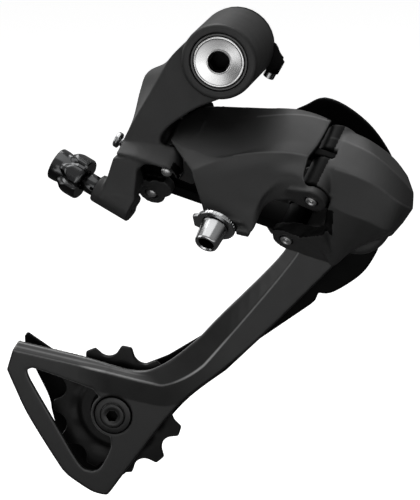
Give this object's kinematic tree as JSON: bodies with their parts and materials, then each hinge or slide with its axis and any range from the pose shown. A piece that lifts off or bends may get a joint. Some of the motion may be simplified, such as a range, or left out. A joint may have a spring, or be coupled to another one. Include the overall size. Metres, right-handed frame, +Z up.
{
  "type": "rear bicycle derailleur",
  "caption": "Rear bicycle derailleur with a sprung bracket, a slanted link parallelogram and a long sprung cage that carries a guide and a tension pulley.",
  "frame": {"origin": "on the mounting bolt's axis, at the outboard face of the frame's hanger", "axes": "+X forward on the bike, +Y inboard along the mounting bolt, +Z up"},
  "size_m": [0.1541, 0.0681, 0.1845],
  "materials": {
    "cast_paint": "dark grey satin paint on castings",
    "plate_paint": "dark grey satin paint on pressed steel",
    "black_steel": "black satin paint on steel",
    "dark_metal": "dark glossy coat",
    "steel": "bright plated steel",
    "spring_steel": "drawn spring wire",
    "seal_grey": "grey moulded seal",
    "black_resin": "black moulded resin",
    "bronze": "plain bearing bronze"
  },
  "bodies": {
    "hanger_axle": {"mounting_bolt": "steel", "stopper_plate": "black_steel"},
    "angle_screw": {"body_angle_screw": "steel"},
    "bracket": {"bracket_body": "cast_paint", "bolt_seal_ring": "seal_grey", "bracket_bush": "bronze", "bracket_spring": "spring_steel", "adjuster_collar": "dark_metal", "adjuster_spring": "spring_steel", "outer_bracket_pin": "steel", "inner_bracket_pin": "steel", "link_return_spring": "spring_steel"},
    "high_screw": {"high_limit_screw": "steel"},
    "low_screw": {"low_limit_screw": "steel"},
    "adjuster": {"barrel_adjuster": "dark_metal"},
    "outer_arm": {"outer_link": "cast_paint", "cable_clamp_washer": "steel", "cable_clamp_bolt": "steel"},
    "inner_arm": {"inner_link": "black_steel"},
    "knuckle": {"knuckle_body": "cast_paint", "outer_knuckle_pin": "steel", "inner_knuckle_pin": "steel", "cage_spring": "spring_steel"},
    "guide_wheel": {"guide_pulley": "black_resin"},
    "tension_wheel": {"tension_pulley": "black_resin"},
    "cage": {"cage_axle": "steel", "cage_stop_pin": "steel", "guide_pulley_bolt": "dark_metal", "guide_pulley_bush": "steel", "guide_pulley_inner_cap": "black_steel", "guide_pulley_outer_cap": "black_steel", "inner_cage_plate": "black_steel", "outer_cage_plate": "plate_paint", "tension_pulley_bolt": "dark_metal", "tension_pulley_bush": "steel", "tension_pulley_inner_cap": "black_steel", "tension_pulley_outer_cap": "black_steel"}
  },
  "joints": [
    {"name": "bracket_pivot", "type": "hinge", "parent": "hanger_axle", "child": "bracket", "pos_m": [0, 0, 0], "axis": [0, 1, 0], "range_deg": [0, 30], "stiffness_Nm_per_rad": 0.8, "springref_deg": -28.65},
    {"name": "link_swing", "type": "hinge", "parent": "bracket", "child": "outer_arm", "pos_m": [-0.0176, -0.02535, -0.03675], "axis": [0.2135, 0.7856, 0.5807], "range_deg": [0, 46], "stiffness_Nm_per_rad": 0.5, "springref_deg": -40.11},
    {"name": "inner_link_swing", "type": "hinge", "parent": "bracket", "child": "inner_arm", "pos_m": [-0.02561, -0.01503, -0.04777], "axis": [0.2135, 0.7856, 0.5807], "range_deg": [0, 46]},
    {"name": "knuckle_swing", "type": "hinge", "parent": "outer_arm", "child": "knuckle", "pos_m": [0.03496, -0.03458, -0.04358], "axis": [0.2135, 0.7856, 0.5807], "range_deg": [-46, 0]},
    {"name": "cage_pivot", "type": "hinge", "parent": "knuckle", "child": "cage", "pos_m": [0.0476, 0, -0.056], "axis": [0, -1, 0], "range_deg": [0, 90], "stiffness_Nm_per_rad": 0.25, "springref_deg": -91.67},
    {"name": "guide_spin", "type": "hinge", "parent": "cage", "child": "guide_wheel", "pos_m": [0.0296, 0.00885, -0.0564], "axis": [0, 1, 0], "continuous": true},
    {"name": "tension_spin", "type": "hinge", "parent": "cage", "child": "tension_wheel", "pos_m": [-0.0465, 0.00885, -0.1404], "axis": [0, 1, 0], "continuous": true},
    {"name": "adjuster_turn", "type": "hinge", "parent": "bracket", "child": "adjuster", "pos_m": [-0.06, -0.0245, -0.0407], "axis": [0.8943, -0.1591, -0.4182], "continuous": true},
    {"name": "high_screw_turn", "type": "hinge", "parent": "bracket", "child": "high_screw", "pos_m": [-0.03652, -0.02522, -0.03133], "axis": [0.9016, -0.1002, -0.4208], "continuous": true},
    {"name": "low_screw_turn", "type": "hinge", "parent": "bracket", "child": "low_screw", "pos_m": [-0.03782, -0.01922, -0.03303], "axis": [0.9016, -0.1002, -0.4208], "continuous": true},
    {"name": "angle_screw_turn", "type": "hinge", "parent": "hanger_axle", "child": "angle_screw", "pos_m": [0.013, 0.0008, -0.0073], "axis": [-0.4695, 0, -0.8829], "continuous": true}
  ],
  "couplings": [
    {"joint": "inner_link_swing", "follows": "link_swing", "ratio": 1},
    {"joint": "knuckle_swing", "follows": "link_swing", "ratio": -1}
  ]
}
